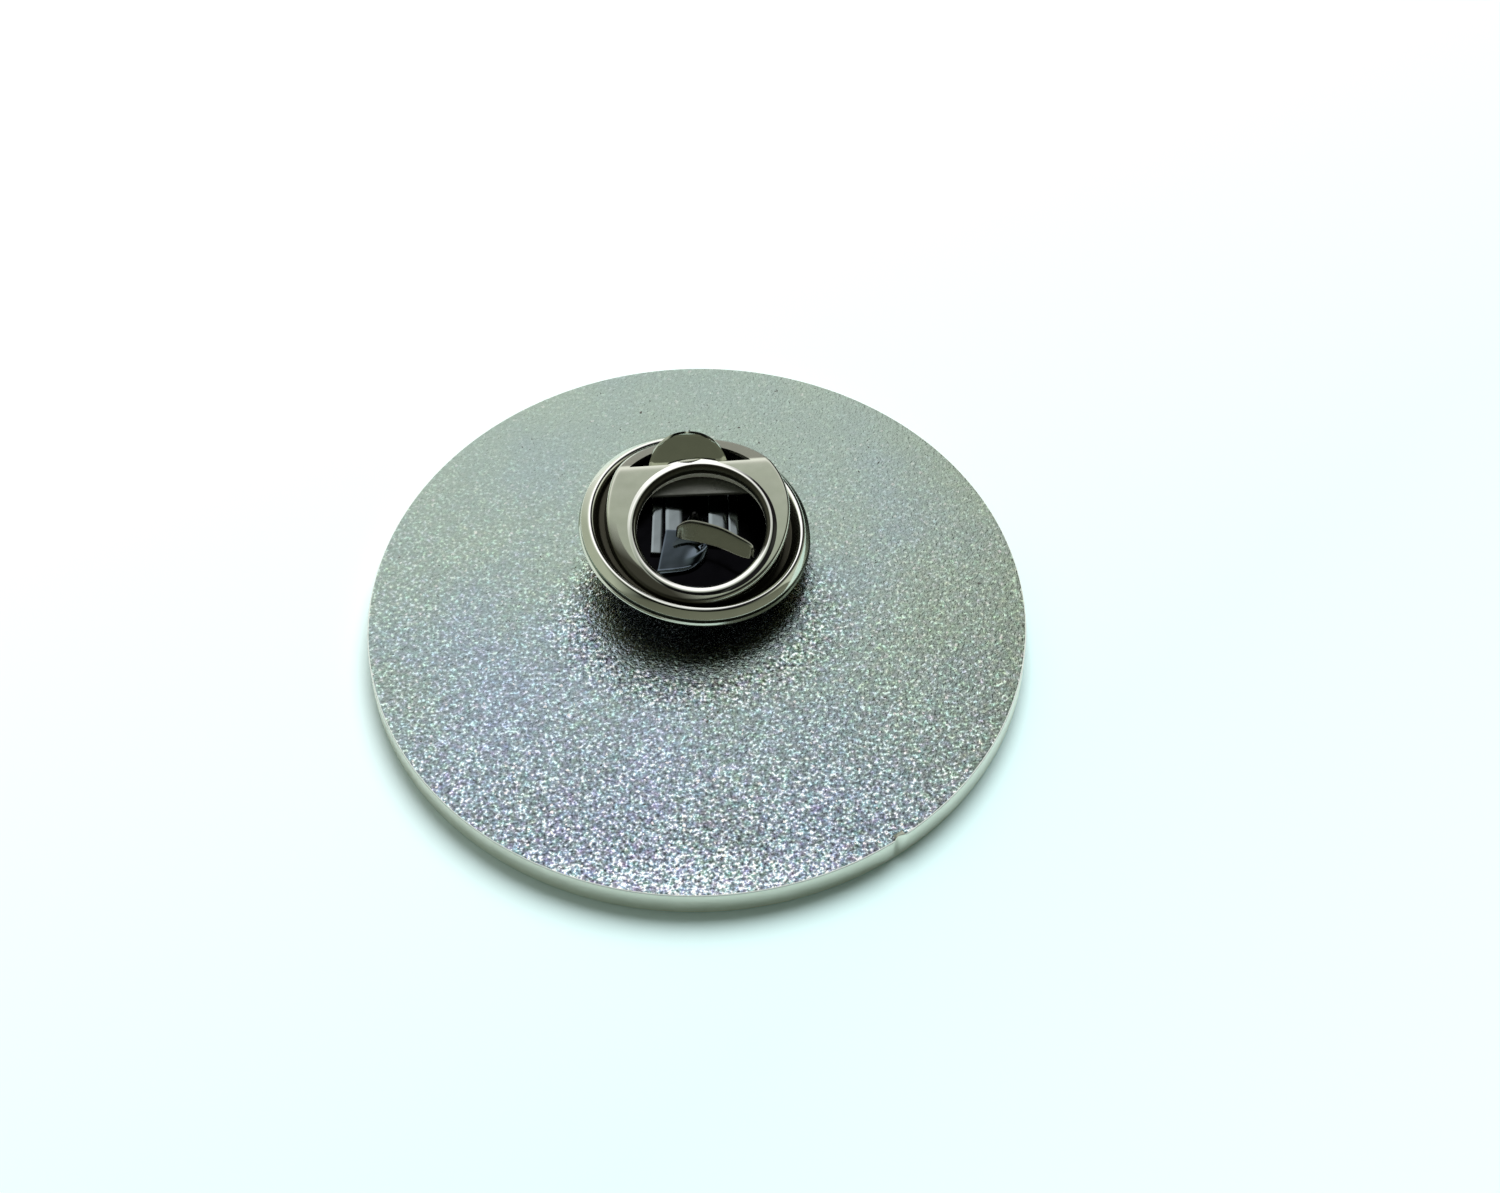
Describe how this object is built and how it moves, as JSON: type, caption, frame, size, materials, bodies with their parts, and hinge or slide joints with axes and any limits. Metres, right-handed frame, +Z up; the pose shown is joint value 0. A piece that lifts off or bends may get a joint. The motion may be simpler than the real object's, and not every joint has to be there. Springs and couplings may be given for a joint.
{
  "type": "round pin badge with locking clutch",
  "caption": "Round metal pin badge with a bordered bare front, a soldered post on its back, and a locking clutch whose wing rocks in a window of its cup.",
  "frame": {"origin": "under the middle of the plate, on the surface that the badge lies on", "axes": "+Z up through the plate towards the post, +Y towards the badge's upper edge, +X to the right seen from the back"},
  "size_m": [0.032, 0.032, 0.0063],
  "materials": {
    "plate_nickel": "fine grained nickel plate, satin",
    "clutch_nickel": "polished nickel plate with a warm olive tone",
    "spring_steel": "bright rolled spring steel"
  },
  "bodies": {
    "badge": {"badge_plate": "plate_nickel"},
    "clutch": {"clutch_cup": "clutch_nickel", "clutch_base": "clutch_nickel", "clutch_spring": "spring_steel"},
    "wing": {"clutch_wing": "clutch_nickel"}
  },
  "joints": [
    {"name": "clutch_slide", "type": "slide", "parent": "badge", "child": "clutch", "axis": [0, 0, 1], "range_m": [-0.0011, 0.0014]},
    {"name": "wing_hinge", "type": "hinge", "parent": "clutch", "child": "wing", "pos_m": [-0.00027, 0.00616, 0.00462], "axis": [0.9994, 0.0323, -0.0149], "range_deg": [0, 10], "stiffness_Nm_per_rad": 0.0002}
  ]
}
